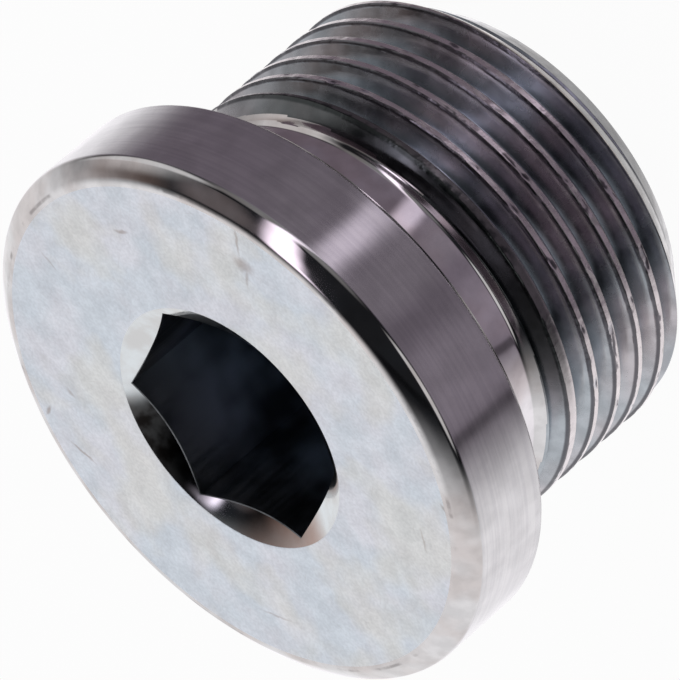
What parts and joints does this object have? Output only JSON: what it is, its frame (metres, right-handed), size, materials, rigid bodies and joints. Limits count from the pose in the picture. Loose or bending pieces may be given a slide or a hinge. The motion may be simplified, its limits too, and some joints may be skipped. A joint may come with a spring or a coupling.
{
  "type": "hexagon socket screw plug with collar",
  "caption": "Turned plug with a wide round collar, a hexagon key socket in its face, a neck below the collar and a chamfered threaded shank.",
  "frame": {"origin": "centre of the collar's annular sealing face, on the plug's axis", "axes": "+Z along the plug's axis, out of the key socket; +X through two opposite corners of the hexagon; +Y completes the right-handed set"},
  "size_m": [0.027, 0.027, 0.019],
  "materials": {
    "zinc_plated_steel": "turned steel with bright zinc plating, faint rainbow bloom, fine handling scratches"
  },
  "bodies": {
    "root": {"plug_body": "zinc_plated_steel"}
  },
  "joints": []
}
